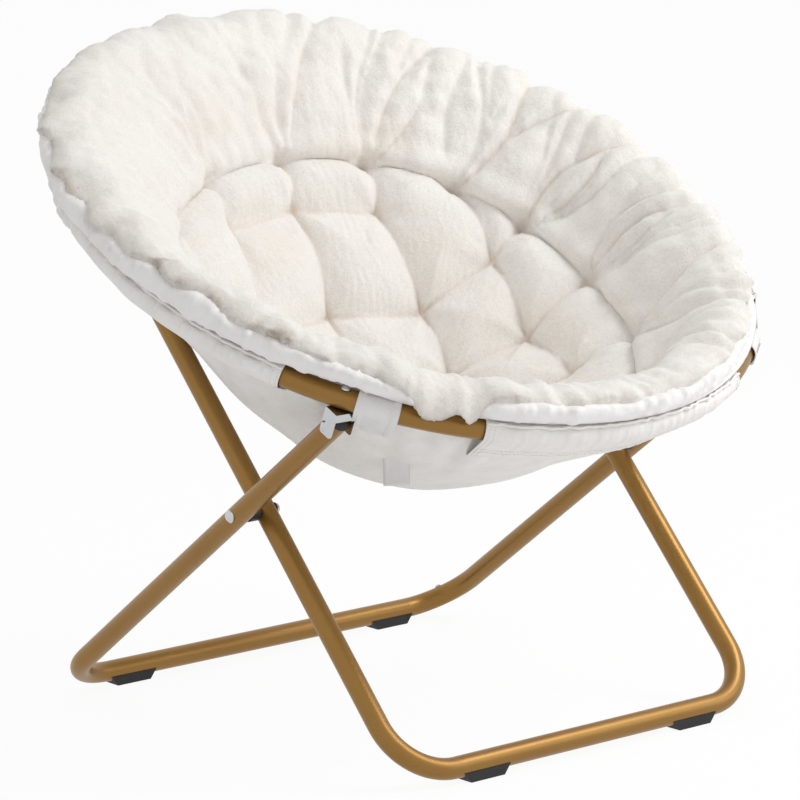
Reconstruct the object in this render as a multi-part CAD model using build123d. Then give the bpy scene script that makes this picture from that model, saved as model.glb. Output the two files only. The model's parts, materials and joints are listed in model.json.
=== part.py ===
from build123d import *
import math
import os

# Folding saucer chair: two crossed tube leg frames, a hinged seat ring, a cover and a tufted cushion.
# Millimetres. +Z is up, the chair faces -Y, and X runs from the sitter's right to left hand side.
# The origin lies on the floor under the middle of the whole chair.

os.makedirs("parts", exist_ok=True)

# ---------------------------------------------------------------- driving dimensions
# Round steel tube, the same stock for the legs and the ring
tube_diameter = 25.0
tube_wall = 1.2

# Seat ring: a circle of tube, leaning back, in two arcs hinged on a line behind its middle
ring_radius = 412.0
ring_tilt = 25.0
ring_centre_height = 562.0
ring_centre_y = 13.0
hinge_behind_centre = 166.0

# Leg frames: U shapes whose foot bars lie across the chair
foot_bar_spacing = 617.0
front_bar_ahead_of_ring = 302.0
front_frame_half_width = 267.0
frame_side_gap = 13.0
foot_bend_radius = 70.0
foot_seam_inset = 74.0
spigot_length = 40.0
pad_thickness = 5.0

# Foot pads
pad_length = 67.0
pad_width = 24.0
pad_height = 12.0
pad_end_slope = 9.0
pad_peg_diameter = 6.0
pad_peg_length = 5.0
front_pad_offset = 159.0
rear_pad_offset = 205.0

# Brackets that hang the ring on the leg ends
bracket_sheet = 2.0
bracket_length = 20.0
bracket_overhang = 6.0
bracket_lip = 8.0
pin_drop = 35.0
ear_below_pin = 9.0
ear_corner_radius = 4.0
pin_diameter = 8.0
pin_head_diameter = 13.0
pin_head_height = 3.0
tube_end_past_pin = 8.0
plug_dome = 5.0
plug_stem = 3.5
plug_wall_clearance = 0.1

# Fasteners
bracket_bolt_diameter = 6.0
bracket_bolt_head = 12.0
bracket_bolt_head_height = 4.0
bracket_nut_across_flats = 10.0
bracket_nut_height = 3.0
pivot_bolt_diameter = 8.0
pivot_head_diameter = 15.0
pivot_head_height = 4.5
pivot_nut_height = 6.75
pivot_bolt_in_nut = 2.25
pivot_spacer_diameter = 20.0
corner_screw_diameter = 5.0
corner_screw_head = 9.0
corner_screw_head_height = 3.0
corner_screw_shank = 6.25

# Ring hinge: flat end plates riveted side by side
hinge_plate_thickness = 3.0
hinge_plate_height = 20.0
hinge_tube_setback = 30.0
hinge_neck_end = 12.0
hinge_plug_length = 18.0
hinge_pin_diameter = 8.0
hinge_pin_head = 14.0
hinge_pin_head_height = 2.5
hinge_plug_clearance = 0.5
stop_tab_thickness = 2.5
stop_tab_length = 6.5
stop_tab_behind_pin = 5.0
hinge_sleeve_room = 4.5

# Cover
sling_thickness = 2.0
sling_rim_inside_ring = 31.0
sling_floor_radius = 30.0
bowl_depth = 248.0
bowl_curve_beyond_ring = 43.0
bowl_power = 1.33
bowl_shift = 62.0
bowl_sections = 9
sleeve_thickness = 1.5
sleeve_tail_thickness = 4.0
bare_beside_bracket = 70.0
bare_ahead_of_bracket = 157.0
strap_width = 48.0
strap_from_bracket = 62.0
loop_width = 30.0
loop_length = 33.0
loop_thickness = 1.5
loop_gap = 3.0
loop_inside_sling_rim = 99.0
loop_angle = 232.0

# Cushion
cushion_crown = 46.0
crown_power = 4.0
channel_thickness = 16.0
channel_inside_ring = 112.0
roll_top = 70.0
roll_top_inside_ring = 2.0
roll_beyond_ring = 33.0
roll_outer_height = 44.0
roll_seat_beyond_ring = 18.0
roll_power = 0.7
roll_sections = 5
crown_sections = 9
tuft_pit_radius = 30.0
tuft_sink = 8.0
tufts_round = 16

# Clearances
running_clearance = 0.06
hole_clearance = 0.02
face_clearance = 0.25
spigot_clearance = 0.15
ear_side_clearance = 1.0
fabric_clearance = 0.5
half_gap = 0.5
loop_clearance = 1.5

# ---------------------------------------------------------------- derived places
tube_radius = tube_diameter / 2
bore_radius = tube_radius - tube_wall
foot_axis_height = pad_thickness + tube_radius
rear_frame_half_width = front_frame_half_width + tube_diameter + frame_side_gap
sling_rim_radius = ring_radius - sling_rim_inside_ring
bowl_reach = ring_radius + bowl_curve_beyond_ring
loop_radius = sling_rim_radius - loop_inside_sling_rim
channel_radius = ring_radius - channel_inside_ring
roll_top_radius = ring_radius - roll_top_inside_ring
roll_outer_radius = ring_radius + roll_beyond_ring
roll_seat_radius = ring_radius + roll_seat_beyond_ring
front_bar_y = ring_centre_y - front_bar_ahead_of_ring
rear_bar_y = front_bar_y + foot_bar_spacing

# The ring's own frame: x across the chair, y rising to the rear in the ring's plane, z square to it
ring_frame = Plane(
    origin=(0, ring_centre_y, ring_centre_height),
    x_dir=(1, 0, 0),
    z_dir=(0, -math.sin(math.radians(ring_tilt)), math.cos(math.radians(ring_tilt))),
)
ring_place = ring_frame.location


def behind(half_width):
    """Distance from the ring's middle to the line where its tube crosses the given half width."""
    return math.sqrt(ring_radius**2 - half_width**2)


front_bracket_y = -behind(rear_frame_half_width)
rear_bracket_y = behind(front_frame_half_width)
hinge_half_width = behind(hinge_behind_centre)


def in_chair(x, y, z):
    """A point of the ring's frame, in the chair's frame."""
    return ring_frame.from_local_coords(Vector(x, y, z))


front_pin = in_chair(0, front_bracket_y, -pin_drop)
rear_pin = in_chair(0, rear_bracket_y, -pin_drop)
ring_hinge = in_chair(0, hinge_behind_centre, 0)
front_foot = Vector(0, front_bar_y, foot_axis_height)
rear_foot = Vector(0, rear_bar_y, foot_axis_height)


def crossing(a, b, c, d):
    """The point where line a-b meets line c-d, all in the chair's middle plane."""
    run = b - a
    other = d - c
    turn = run.Y * other.Z - run.Z * other.Y
    gap = c - a
    share = (gap.Y * other.Z - gap.Z * other.Y) / turn
    return a + run * share


leg_pivot = crossing(front_foot, rear_pin, rear_foot, front_pin)


# ---------------------------------------------------------------- helpers
def keep(shape, name):
    """Write one sub-part, or a group of equal pieces, to its file."""
    pieces = shape if isinstance(shape, list) else [shape]
    solids = [solid for piece in pieces for solid in piece.solids()]
    export_step(solids[0] if len(solids) == 1 else Compound(children=solids), f"parts/{name}.step")


def rod(start, end, radius):
    """A round bar from one point to another."""
    axis = Vector(*end) - Vector(*start)
    base = Plane(origin=start, z_dir=axis)
    return extrude(base * Circle(radius), axis.length)


def mirrored(shape):
    """The same piece for the other side of the chair."""
    return mirror(shape, about=Plane.YZ)


def frame_plane(foot, top):
    """Plane of a leg frame: x across the chair, y up along the uprights, origin mid foot bar."""
    return Plane(origin=foot, x_dir=(1, 0, 0), z_dir=Vector(1, 0, 0).cross(top - foot))


def hollow_sweep(path, outer, inner):
    """A tube of the given radii along a path."""
    start = Plane(origin=path @ 0, z_dir=path % 0)
    return sweep(start * (Circle(outer) - Circle(inner)), path=path)


def dome(diameter, height):
    """A domed head standing on the XY plane."""
    radius = diameter / 2
    bulge = (radius**2 + height**2) / (2 * height)
    cap = Pos(0, 0, height - bulge) * Sphere(bulge)
    return cap & Pos(0, 0, height / 2) * Cylinder(diameter, height)


def facing(point, direction):
    """A place at a point whose +Z looks along a direction."""
    return Plane(origin=point, z_dir=direction).location


def hexagon(across_flats, height):
    """A hexagonal nut blank standing on the XY plane."""
    return extrude(RegularPolygon(across_flats / 2, 6, major_radius=False), height)


# ---------------------------------------------------------------- leg frames
def upright(foot, pin_point, half_width, pad_offset, screw_on_bend):
    """One bent upright of a leg frame, with its swaged spigot, on the +X side."""
    plane = frame_plane(foot, pin_point)
    reach = (pin_point - foot).length
    seam = half_width - foot_seam_inset
    tube_end = reach + tube_end_past_pin
    corner = FilletPolyline((seam, 0), (half_width, 0), (half_width, tube_end), radius=foot_bend_radius)
    tube = hollow_sweep(corner, tube_radius, bore_radius)
    spigot_radius = bore_radius - spigot_clearance
    spigot_bore = spigot_radius - tube_wall
    start = Plane(origin=(seam, 0, 0), z_dir=(-1, 0, 0))
    spigot = extrude(start * (Circle(spigot_radius) - Circle(spigot_bore)), spigot_length)
    neck = extrude(start * (Circle(bore_radius + tube_wall / 2) - Circle(spigot_bore)), -tube_wall * 2)
    body = tube + spigot + neck
    pivot_reach = (leg_pivot - foot).length
    across = 2 * tube_diameter
    pin_hole = Cylinder(pin_diameter / 2 + running_clearance, across, rotation=(0, 90, 0))
    pivot_hole = Cylinder(pivot_bolt_diameter / 2 + running_clearance, across, rotation=(0, 90, 0))
    body -= Pos(half_width, reach, 0) * pin_hole
    body -= Pos(half_width, pivot_reach, 0) * pivot_hole
    if screw_on_bend:
        body -= bend_spot(half_width) * Pos(0, 0, -tube_radius) * Cylinder(
            corner_screw_diameter / 2 + hole_clearance, tube_radius
        )
    return plane.location * body - peg_hole(foot, pad_offset)


def bend_spot(half_width):
    """Middle of the foot bend, in the leg frame's own plane."""
    reach = foot_bend_radius * math.sin(math.radians(45))
    centre = half_width - foot_bend_radius
    return Pos(centre + reach, foot_bend_radius - reach, 0)


def peg_hole(foot, pad_offset):
    """Cutter for a pad's peg, through the underside of a foot bar on the +X side."""
    hole_radius = pad_peg_diameter / 2 + hole_clearance
    return Pos(pad_offset, foot.Y, pad_thickness) * Cylinder(hole_radius, tube_radius)


def foot_bar(foot, half_width, pad_offset):
    """The straight bar that lies on the floor between the two seams, with holes for the pad pegs."""
    seam = half_width - foot_seam_inset
    bar = Pos(*foot) * extrude(Plane.YZ * (Circle(tube_radius) - Circle(bore_radius)), seam, both=True)
    hole = peg_hole(foot, pad_offset)
    return bar - hole - mirrored(hole)


def foot_pads(foot, pad_offset):
    """Two rubber pads that cup the underside of a foot bar, with sloped ends and a peg into the bar."""
    half = pad_length / 2
    outline = make_face(
        Polyline(
            (-half + pad_end_slope, 0),
            (half - pad_end_slope, 0),
            (half, pad_height),
            (-half, pad_height),
            close=True,
        )
    )
    pad = extrude(Plane.XZ * outline, pad_width / 2, both=True)
    pad -= Pos(0, 0, foot_axis_height) * Cylinder(tube_radius, 2 * pad_length, rotation=(0, 90, 0))
    peg_height = pad_peg_length + tube_wall
    pad += Pos(0, 0, pad_thickness + peg_height / 2 - tube_wall) * Cylinder(pad_peg_diameter / 2, peg_height)
    return [Pos(side * pad_offset, foot.Y, 0) * pad for side in (-1, 1)]


def tube_plug(foot, pin_point, half_width):
    """Domed plastic plug in the open upper end of an upright, on the +X side."""
    plane = frame_plane(foot, pin_point)
    reach = (pin_point - foot).length + tube_end_past_pin
    up = Plane(origin=(half_width, reach, 0), z_dir=(0, 1, 0)).location
    stem = Pos(0, 0, -plug_stem / 2) * Cylinder(bore_radius - plug_wall_clearance, plug_stem)
    return plane.location * (up * (dome(tube_diameter, plug_dome) + stem))


front_upright = upright(front_foot, rear_pin, front_frame_half_width, front_pad_offset, False)
rear_upright = upright(rear_foot, front_pin, rear_frame_half_width, rear_pad_offset, True)
front_plug = tube_plug(front_foot, rear_pin, front_frame_half_width)
rear_plug = tube_plug(rear_foot, front_pin, rear_frame_half_width)

keep(foot_bar(front_foot, front_frame_half_width, front_pad_offset), "front_foot_bar")
keep(foot_bar(rear_foot, rear_frame_half_width, rear_pad_offset), "rear_foot_bar")
keep(front_upright, "front_upright_left")
keep(mirrored(front_upright), "front_upright_right")
keep(rear_upright, "rear_upright_left")
keep(mirrored(rear_upright), "rear_upright_right")
keep(foot_pads(front_foot, front_pad_offset), "front_foot_pads")
keep(foot_pads(rear_foot, rear_pad_offset), "rear_foot_pads")
keep([front_plug, mirrored(front_plug)], "front_frame_tube_plugs")
keep([rear_plug, mirrored(rear_plug)], "rear_frame_tube_plugs")

screw_spot = frame_plane(rear_foot, front_pin).location * bend_spot(rear_frame_half_width)
screw = Pos(0, 0, -tube_radius) * Rot(180, 0, 0) * dome(corner_screw_head, corner_screw_head_height)
screw_shank = Cylinder(corner_screw_diameter / 2, corner_screw_shank)
screw += Pos(0, 0, corner_screw_shank / 2 - tube_radius) * screw_shank
corner_screw = screw_spot * screw
keep([corner_screw, mirrored(corner_screw)], "corner_screws")

# Pivot where the two frames cross: bolt from outside, spacer between the tubes, dome nut inside
outer_face = rear_frame_half_width + tube_radius
inner_face = front_frame_half_width - tube_radius
nut_seat = inner_face - face_clearance
pivot_y, pivot_z = leg_pivot.Y, leg_pivot.Z
bolt_end = nut_seat - pivot_bolt_in_nut
bolt = rod((bolt_end, pivot_y, pivot_z), (outer_face, pivot_y, pivot_z), pivot_bolt_diameter / 2)
bolt += facing((outer_face, pivot_y, pivot_z), (1, 0, 0)) * dome(pivot_head_diameter, pivot_head_height)
dome_nut = facing((nut_seat, pivot_y, pivot_z), (-1, 0, 0)) * dome(pivot_head_diameter, pivot_nut_height)
dome_nut -= rod(
    (bolt_end, pivot_y, pivot_z),
    (nut_seat, pivot_y, pivot_z),
    pivot_bolt_diameter / 2 + hole_clearance,
)
spacer_start = front_frame_half_width + tube_radius + face_clearance
spacer_end = rear_frame_half_width - tube_radius
spacer = rod((spacer_start, pivot_y, pivot_z), (spacer_end, pivot_y, pivot_z), pivot_spacer_diameter / 2)
spacer -= rod(
    (spacer_start, pivot_y, pivot_z),
    (spacer_end, pivot_y, pivot_z),
    pivot_bolt_diameter / 2 + hole_clearance,
)
keep([bolt, mirrored(bolt)], "leg_pivot_bolts")
keep([dome_nut, mirrored(dome_nut)], "leg_pivot_nuts")
keep([spacer, mirrored(spacer)], "leg_pivot_spacers")


# ---------------------------------------------------------------- ring, in the ring's own frame
hinge_angle = math.degrees(math.asin(hinge_behind_centre / ring_radius))
setback_angle = math.degrees(hinge_tube_setback / ring_radius)
front_bracket_angle = math.degrees(math.atan2(front_bracket_y, rear_frame_half_width))
rear_bracket_angle = math.degrees(math.atan2(rear_bracket_y, front_frame_half_width))


def arc_share(length):
    """Angle that a length takes along the ring."""
    return math.degrees(length / ring_radius)


def sector(profile, start, end):
    """A profile drawn on XZ, carried round the ring from one angle to another."""
    return revolve(profile.rotate(Axis.Z, start), Axis.Z, end - start)


def ring_arc(start, end, holes):
    """An arc of the ring's tube with bolt holes square to the ring at the given places."""
    arc = sector(Plane.XZ * Pos(ring_radius, 0) * (Circle(tube_radius) - Circle(bore_radius)), start, end)
    for x, y in holes:
        arc -= Pos(x, y, 0) * Cylinder(bracket_bolt_diameter / 2 + hole_clearance, 2 * tube_diameter)
    return arc


front_spots = [(side * rear_frame_half_width, front_bracket_y) for side in (-1, 1)]
rear_spots = [(side * front_frame_half_width, rear_bracket_y) for side in (-1, 1)]
front_arc = ring_arc(180 - hinge_angle + setback_angle, 360 + hinge_angle - setback_angle, front_spots)
rear_arc = ring_arc(hinge_angle + setback_angle, 180 - hinge_angle - setback_angle, rear_spots)
keep(ring_place * front_arc, "ring_front_arc")
keep(ring_place * rear_arc, "ring_rear_arc")


def end_plate(tube_angle, toward_hinge, outward, hole_radius):
    """Flat hinge plate on one tube end of the +X side: plug in the tube, neck, plate."""
    tube_end = Vector(
        ring_radius * math.cos(math.radians(tube_angle)), ring_radius * math.sin(math.radians(tube_angle)), 0
    )
    along = Vector(-tube_end.Y, tube_end.X, 0).normalized() * toward_hinge
    middle = hinge_half_width + outward * (face_clearance + hinge_plate_thickness / 2)
    neck_y = hinge_behind_centre - toward_hinge * hinge_neck_end
    round_face = Plane(origin=tube_end, x_dir=(0, 0, 1), z_dir=along) * Circle(tube_radius)
    flat_face = Plane(origin=(middle, neck_y, 0), x_dir=(0, 0, 1), z_dir=(0, toward_hinge, 0)) * Rectangle(
        hinge_plate_height, hinge_plate_thickness
    )
    neck = loft([round_face, flat_face])
    plug_radius = bore_radius - hinge_plug_clearance
    plug = extrude(Plane(origin=tube_end, z_dir=-along) * Circle(plug_radius), hinge_plug_length)
    plate = Pos(middle, (neck_y + hinge_behind_centre) / 2, 0) * Box(
        hinge_plate_thickness, hinge_neck_end, hinge_plate_height
    )
    eye = Cylinder(hinge_plate_height / 2, hinge_plate_thickness, rotation=(0, 90, 0))
    plate += Pos(middle, hinge_behind_centre, 0) * eye
    hole = Cylinder(hole_radius, 2 * tube_diameter, rotation=(0, 90, 0))
    return plug + neck + plate - Pos(middle, hinge_behind_centre, 0) * hole


front_plate = end_plate(hinge_angle - setback_angle, 1, 1, hinge_pin_diameter / 2 + hole_clearance)
rear_plate = end_plate(hinge_angle + setback_angle, -1, -1, hinge_pin_diameter / 2 + running_clearance)

# A tab bent over from the front plate stops the ring at flat
tab_bottom = hinge_plate_height / 2 + face_clearance
tab_width = 2 * (face_clearance + hinge_plate_thickness)
tab_start = hinge_behind_centre + stop_tab_behind_pin
tab = Pos(hinge_half_width, tab_start + stop_tab_length / 2, tab_bottom + stop_tab_thickness / 2) * Box(
    tab_width, stop_tab_length, stop_tab_thickness
)
tab_root = Pos(
    hinge_half_width + face_clearance + hinge_plate_thickness / 2,
    tab_start + stop_tab_length / 2 - stop_tab_behind_pin,
    tab_bottom / 2,
) * Box(hinge_plate_thickness, stop_tab_length + 2 * stop_tab_behind_pin, tab_bottom)
tab_root -= Pos(hinge_half_width, hinge_behind_centre, 0) * Cylinder(
    hinge_pin_diameter / 2 + hole_clearance, 2 * tube_diameter, rotation=(0, 90, 0)
)
front_plate += tab + tab_root
keep([ring_place * front_plate, ring_place * mirrored(front_plate)], "hinge_plates_front")
keep([ring_place * rear_plate, ring_place * mirrored(rear_plate)], "hinge_plates_rear")

rivet_outer = hinge_half_width + face_clearance + hinge_plate_thickness
rivet_inner = hinge_half_width - face_clearance - hinge_plate_thickness - face_clearance
outer_end = (rivet_outer, hinge_behind_centre, 0)
inner_end = (rivet_inner, hinge_behind_centre, 0)
rivet_head = dome(hinge_pin_head, hinge_pin_head_height)
hinge_rivet = rod(inner_end, outer_end, hinge_pin_diameter / 2)
hinge_rivet += facing(outer_end, (1, 0, 0)) * rivet_head
hinge_rivet += facing(inner_end, (-1, 0, 0)) * rivet_head
keep([ring_place * hinge_rivet, ring_place * mirrored(hinge_rivet)], "hinge_rivets")


# ---------------------------------------------------------------- brackets
ear_inner = tube_radius + ear_side_clearance
ear_outer = ear_inner + bracket_sheet
web_top = -tube_radius
web_bottom = web_top - bracket_sheet
ear_bottom = -pin_drop - ear_below_pin


def bracket(lip_side):
    """U bracket of bent sheet, its origin where the leg's plane meets the ring's centre line."""
    far = lip_side * (bracket_length - bracket_overhang)
    near = -lip_side * bracket_overhang
    middle = (far + near) / 2
    web = Pos(0, middle, web_top - bracket_sheet / 2) * Box(2 * ear_outer, bracket_length, bracket_sheet)
    ear_height = web_top - ear_bottom
    ear_face = Plane.YZ * Pos(middle, web_top - ear_height / 2) * Rectangle(bracket_length, ear_height)
    ear_face = fillet(ear_face.vertices().sort_by(Axis.Z)[:2], ear_corner_radius)
    ear = Pos(ear_inner, 0, 0) * extrude(ear_face, bracket_sheet, dir=(1, 0, 0))
    lip_height = bracket_sheet + bracket_lip
    lip = Pos(0, far - lip_side * bracket_sheet / 2, web_top - lip_height / 2) * Box(
        2 * ear_outer, bracket_sheet, lip_height
    )
    body = web + ear + mirrored(ear) + lip
    body -= Pos(0, 0, -pin_drop) * Cylinder(
        pin_diameter / 2 + hole_clearance, 2 * tube_diameter, rotation=(0, 90, 0)
    )
    body -= Pos(0, 0, web_top) * Cylinder(bracket_bolt_diameter / 2 + hole_clearance, tube_diameter)
    return body


def bracket_bolt():
    """Bolt through the ring and the bracket's web, dome head on top."""
    head = Pos(0, 0, tube_radius) * dome(bracket_bolt_head, bracket_bolt_head_height)
    shank_end = web_bottom - bracket_nut_height
    shank = rod((0, 0, shank_end), (0, 0, tube_radius), bracket_bolt_diameter / 2)
    return head + shank


def bracket_nut():
    """Thin nut under the bracket's web."""
    nut = Pos(0, 0, web_bottom - bracket_nut_height) * hexagon(bracket_nut_across_flats, bracket_nut_height)
    return nut - Pos(0, 0, web_bottom) * Cylinder(bracket_bolt_diameter / 2 + hole_clearance, tube_diameter)


def pin_end(inner):
    """The +X half of a bracket's rivet pin, from an inner end to its head."""
    half = rod((inner, 0, -pin_drop), (ear_outer, 0, -pin_drop), pin_diameter / 2)
    return half + facing((ear_outer, 0, -pin_drop), (1, 0, 0)) * dome(pin_head_diameter, pin_head_height)


def at_spots(shapes, spots):
    """Copies of some shapes at the given places of the ring, in the chair's frame."""
    return [ring_place * (Pos(x, y, 0) * shape) for x, y in spots for shape in shapes]


through_pin = pin_end(0) + mirrored(pin_end(0))
stub_pins = [pin_end(ear_inner), mirrored(pin_end(ear_inner))]
keep(at_spots([bracket(-1)], front_spots), "front_brackets")
keep(at_spots([bracket(1)], rear_spots), "rear_brackets")
keep(at_spots([bracket_bolt()], front_spots), "front_bracket_bolts")
keep(at_spots([bracket_bolt()], rear_spots), "rear_bracket_bolts")
keep(at_spots([bracket_nut()], front_spots), "front_bracket_nuts")
keep(at_spots([bracket_nut()], rear_spots), "rear_bracket_nuts")
keep(at_spots([through_pin], front_spots), "front_bracket_pins")
keep(at_spots(stub_pins, rear_spots), "rear_bracket_pins")


# ---------------------------------------------------------------- cover
def bowl_height(radius):
    """Height of the hanging sling's underside at a radius from its own middle."""
    share = (radius / bowl_reach) ** bowl_power
    return -bowl_depth / 2 * (1 + math.cos(math.pi * share))


def bowl_slope(radius):
    """Slope of the sling's underside at a radius."""
    share = (radius / bowl_reach) ** bowl_power
    return bowl_depth / 2 * math.sin(math.pi * share) * math.pi * bowl_power * share / radius


def bowl_lean(radius):
    """How far ahead of the ring's middle the sling's circle of this radius is centred."""
    return bowl_shift * max(0, 1 - (radius / sling_rim_radius) ** 2)


def over_bowl(radius, thickness):
    """Radius and height of the point a thickness square above the sling's underside."""
    length = math.hypot(1, bowl_slope(radius))
    return radius - thickness * bowl_slope(radius) / length, bowl_height(radius) + thickness / length


def bowl_circle(radius, thickness):
    """The circle a thickness above the sling's underside."""
    across, height = over_bowl(radius, thickness)
    return Pos(0, -bowl_lean(radius), height) * Circle(across)


def bowl_radii(last_radius):
    """Radii of the sections that a bowl is lofted through."""
    step = (last_radius - sling_floor_radius) / (bowl_sections - 1)
    return [sling_floor_radius + i * step for i in range(bowl_sections)]


def half(shape, front):
    """The part of a soft shape on one side of the ring's hinge line."""
    room = 4 * ring_radius
    shift = (room + half_gap) / 2 * (-1 if front else 1)
    return shape & Pos(0, hinge_behind_centre + shift, 0) * Box(room, room, room)


def bowl(thickness):
    """The room inside the hanging sling, from a thickness above its underside up to its rim."""
    return loft([bowl_circle(radius, thickness) for radius in bowl_radii(sling_rim_radius)], ruled=True)


sling = bowl(0) - bowl(sling_thickness)
keep(ring_place * half(sling, True), "sling_front")
keep(ring_place * half(sling, False), "sling_rear")


# Folded ribbon sewn under the sling, hanging straight down
ribbon_room = loop_gap + 2 * loop_thickness
ribbon = SlotOverall(2 * loop_length, ribbon_room) - SlotOverall(2 * (loop_length - loop_thickness), loop_gap)
ribbon &= Pos(loop_length / 2, 0) * Rectangle(loop_length, ribbon_room)
ribbon = extrude(ribbon, loop_width / 2, both=True)
loop_turn = math.radians(loop_angle)
loop_top = in_chair(
    loop_radius * math.cos(loop_turn),
    loop_radius * math.sin(loop_turn) - bowl_lean(loop_radius),
    bowl_height(loop_radius) - loop_clearance,
)
hanging = Plane(
    origin=loop_top - Vector(0, 0, ribbon_room / 2),
    x_dir=(0, 0, -1),
    z_dir=(-math.sin(loop_turn), math.cos(loop_turn), 0),
)
keep(hanging.location * ribbon, "lift_loop")


def pocket(room):
    """Section of the fabric pocket round the ring: a drop shape whose tail meets the sling's rim."""
    inner_radius = tube_radius + room
    rim = Vector(*over_bowl(sling_rim_radius, sling_thickness / 2))
    centre = Vector(ring_radius, 0)
    tail_radius = sleeve_tail_thickness / 2
    tail = rim + (centre - rim).normalized() * (tail_radius + face_clearance)
    outline = [
        *(Pos(ring_radius, 0) * Circle(inner_radius + sleeve_thickness)).edges(),
        *(Pos(tail.X, tail.Y) * Circle(tail_radius)).edges(),
    ]
    return Plane.XZ * (make_hull(outline) - Pos(ring_radius, 0) * Circle(inner_radius))


sleeve_section = pocket(fabric_clearance)
bare_beside = arc_share(bare_beside_bracket)
bare_ahead = arc_share(bare_ahead_of_bracket)
seam_gap = arc_share(half_gap)
side_start = 180 - hinge_angle + setback_angle
side_end = 180 - front_bracket_angle - bare_beside
rear_start = 180 - rear_bracket_angle + bare_beside
rear_end = 180 - hinge_angle - setback_angle
front_start = 180 - front_bracket_angle + bare_ahead
front_end = 360 + front_bracket_angle - bare_ahead
front_sleeve = sector(sleeve_section, front_start, front_end)
rear_sleeve = sector(sleeve_section, rear_bracket_angle + bare_ahead, 180 - rear_bracket_angle - bare_ahead)
side_front_sleeve = sector(sleeve_section, side_start, side_end)
side_rear_sleeve = sector(sleeve_section, rear_start, rear_end)
hinge_sleeve = sector(pocket(hinge_sleeve_room), rear_end + seam_gap, side_start - seam_gap)
strap_half = arc_share(strap_width / 2)
strap_step = arc_share(strap_from_bracket)
front_strap_angle = 180 - front_bracket_angle + strap_step
rear_strap_angle = 180 - rear_bracket_angle - strap_step
front_strap = sector(sleeve_section, front_strap_angle - strap_half, front_strap_angle + strap_half)
rear_strap = sector(sleeve_section, rear_strap_angle - strap_half, rear_strap_angle + strap_half)

keep(ring_place * front_sleeve, "front_sleeve")
keep(ring_place * rear_sleeve, "rear_sleeve")
for piece, name in (
    (side_front_sleeve, "side_sleeves_front"),
    (hinge_sleeve, "hinge_sleeves"),
    (side_rear_sleeve, "side_sleeves_rear"),
    (front_strap, "front_straps"),
    (rear_strap, "rear_straps"),
):
    keep([ring_place * piece, ring_place * mirrored(piece)], name)


# ---------------------------------------------------------------- cushion
def cushion_top(radius):
    """Radius and height of the cushion's upper face: a crown inside the seam circle, the rim roll outside."""
    across, floor = over_bowl(channel_radius, channel_thickness)
    if radius <= channel_radius:
        crown = (cushion_crown - channel_thickness) * math.sqrt(1 - (radius / channel_radius) ** crown_power)
        return over_bowl(radius, channel_thickness + crown)
    turn = math.acos(1 - ((radius - channel_radius) / (roll_top_radius - channel_radius)) ** (1 / roll_power))
    share = (radius - channel_radius) / (roll_top_radius - channel_radius)
    return across + (roll_top_radius - across) * share, floor + (roll_top - floor) * math.sin(turn)


def top_circle(radius):
    """The circle of the cushion's upper face that belongs to a radius."""
    across, height = cushion_top(radius)
    return Pos(0, -bowl_lean(radius), height) * Circle(across)


lining = sling_thickness + fabric_clearance
sleeve_room = tube_radius + hinge_sleeve_room + sleeve_thickness + fabric_clearance
edge_radius, edge_height = over_bowl(sling_rim_radius, lining)
rim_outline = Polyline(
    (0, roll_top),
    (0, edge_height),
    (edge_radius, edge_height),
    (ring_radius - sleeve_room, tube_radius / 2),
    (ring_radius - sleeve_room, sleeve_room),
    (roll_seat_radius, sleeve_room),
)
rim_outline += Spline(
    (roll_seat_radius, sleeve_room),
    (roll_outer_radius, roll_outer_height),
    (roll_top_radius, roll_top),
    tangents=((1, 0), (-1, 0)),
)
rim_outline += Line((roll_top_radius, roll_top), (0, roll_top))
rim_roll = revolve(Plane.XZ * make_face(rim_outline), Axis.Z, 360)
crown_turn = math.pi / 2 / crown_sections
crown_radii = [channel_radius * math.sin(crown_turn * (i + 1)) for i in range(crown_sections)]
roll_step = (roll_top_radius - channel_radius) / roll_sections
roll_radii = [channel_radius + roll_step * (i + 1) for i in range(roll_sections)]
seat_room = loft([top_circle(radius) for radius in crown_radii + roll_radii], ruled=True)
cushion = bowl(lining) + rim_roll - seat_room

# Sewn tufts pull the seam circle down all round
seam_circle = top_circle(channel_radius).edge()
pits = []
for i in range(tufts_round):
    tuft = seam_circle @ (i / tufts_round)
    pits.append(Pos(tuft.X, tuft.Y, tuft.Z + tuft_pit_radius - tuft_sink) * Sphere(tuft_pit_radius))
cushion -= pits
keep(ring_place * half(cushion, True), "cushion_front")
keep(ring_place * half(cushion, False), "cushion_rear")
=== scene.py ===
import json
import math

import bpy
import numpy as np
from mathutils import Matrix, Vector


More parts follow.
